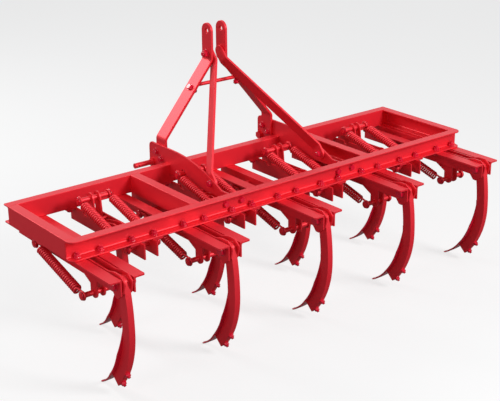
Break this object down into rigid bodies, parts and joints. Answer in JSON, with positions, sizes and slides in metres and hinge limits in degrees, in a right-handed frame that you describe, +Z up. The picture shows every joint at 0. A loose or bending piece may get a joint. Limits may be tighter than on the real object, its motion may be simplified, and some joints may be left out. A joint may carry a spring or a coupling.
{
  "type": "tractor cultivator",
  "caption": "Mounted field cultivator with spring-loaded curved tines in two rows under a channel frame, with a raised three-point hitch mast.",
  "frame": {"origin": "middle of the machine's box at the ground, under the tine points", "axes": "+X across the machine to its right, +Y forward to the tractor, +Z up"},
  "size_m": [2, 0.8414, 1.097],
  "materials": {
    "red_enamel": "glossy enamel",
    "spring_enamel": "glossy enamel over coiled wire"
  },
  "bodies": {
    "frame": {"front_rail": "red_enamel", "rear_rail": "red_enamel", "left_end_member": "red_enamel", "right_end_member": "red_enamel", "left_cross_member": "red_enamel", "right_cross_member": "red_enamel", "left_hitch_plate": "red_enamel", "right_hitch_plate": "red_enamel", "left_link_pin": "red_enamel", "right_link_pin": "red_enamel", "left_mast_bar": "red_enamel", "right_mast_bar": "red_enamel", "mast_tie": "red_enamel", "left_brace": "red_enamel", "right_brace": "red_enamel", "rear_brackets": "red_enamel", "front_brackets": "red_enamel"},
    "rear_1": {"rear_tine_1": "red_enamel", "rear_shovel_1": "red_enamel", "rear_springs_1": "spring_enamel"},
    "rear_2": {"rear_tine_2": "red_enamel", "rear_shovel_2": "red_enamel", "rear_springs_2": "spring_enamel"},
    "rear_3": {"rear_tine_3": "red_enamel", "rear_shovel_3": "red_enamel", "rear_springs_3": "spring_enamel"},
    "rear_4": {"rear_tine_4": "red_enamel", "rear_shovel_4": "red_enamel", "rear_springs_4": "spring_enamel"},
    "rear_5": {"rear_tine_5": "red_enamel", "rear_shovel_5": "red_enamel", "rear_springs_5": "spring_enamel"},
    "front_1": {"front_tine_1": "red_enamel", "front_shovel_1": "red_enamel", "front_springs_1": "spring_enamel"},
    "front_2": {"front_tine_2": "red_enamel", "front_shovel_2": "red_enamel", "front_springs_2": "spring_enamel"},
    "front_3": {"front_tine_3": "red_enamel", "front_shovel_3": "red_enamel", "front_springs_3": "spring_enamel"},
    "front_4": {"front_tine_4": "red_enamel", "front_shovel_4": "red_enamel", "front_springs_4": "spring_enamel"}
  },
  "joints": [
    {"name": "rear_1_trip", "type": "hinge", "parent": "frame", "child": "rear_1", "pos_m": [-0.9144, -0.37325, 0.454], "axis": [-1, 0, 0], "range_deg": [0, 25], "stiffness_Nm_per_rad": 4000, "springref_deg": -2.35, "deforming": ["rear_springs_1"]},
    {"name": "rear_2_trip", "type": "hinge", "parent": "frame", "child": "rear_2", "pos_m": [-0.4572, -0.37325, 0.454], "axis": [-1, 0, 0], "range_deg": [0, 25], "stiffness_Nm_per_rad": 4000, "springref_deg": -2.35, "deforming": ["rear_springs_2"]},
    {"name": "rear_3_trip", "type": "hinge", "parent": "frame", "child": "rear_3", "pos_m": [0, -0.37325, 0.454], "axis": [-1, 0, 0], "range_deg": [0, 25], "stiffness_Nm_per_rad": 4000, "springref_deg": -2.35, "deforming": ["rear_springs_3"]},
    {"name": "rear_4_trip", "type": "hinge", "parent": "frame", "child": "rear_4", "pos_m": [0.4572, -0.37325, 0.454], "axis": [-1, 0, 0], "range_deg": [0, 25], "stiffness_Nm_per_rad": 4000, "springref_deg": -2.35, "deforming": ["rear_springs_4"]},
    {"name": "rear_5_trip", "type": "hinge", "parent": "frame", "child": "rear_5", "pos_m": [0.9144, -0.37325, 0.454], "axis": [-1, 0, 0], "range_deg": [0, 25], "stiffness_Nm_per_rad": 4000, "springref_deg": -2.35, "deforming": ["rear_springs_5"]},
    {"name": "front_1_trip", "type": "hinge", "parent": "frame", "child": "front_1", "pos_m": [-0.6858, 0.01275, 0.454], "axis": [-1, 0, 0], "range_deg": [0, 20], "stiffness_Nm_per_rad": 60, "springref_deg": -51.57, "deforming": ["front_springs_1"]},
    {"name": "front_2_trip", "type": "hinge", "parent": "frame", "child": "front_2", "pos_m": [-0.2286, 0.01275, 0.454], "axis": [-1, 0, 0], "range_deg": [0, 20], "stiffness_Nm_per_rad": 60, "springref_deg": -51.57, "deforming": ["front_springs_2"]},
    {"name": "front_3_trip", "type": "hinge", "parent": "frame", "child": "front_3", "pos_m": [0.2286, 0.01275, 0.454], "axis": [-1, 0, 0], "range_deg": [0, 20], "stiffness_Nm_per_rad": 60, "springref_deg": -51.57, "deforming": ["front_springs_3"]},
    {"name": "front_4_trip", "type": "hinge", "parent": "frame", "child": "front_4", "pos_m": [0.6858, 0.01275, 0.454], "axis": [-1, 0, 0], "range_deg": [0, 20], "stiffness_Nm_per_rad": 60, "springref_deg": -51.57, "deforming": ["front_springs_4"]}
  ]
}
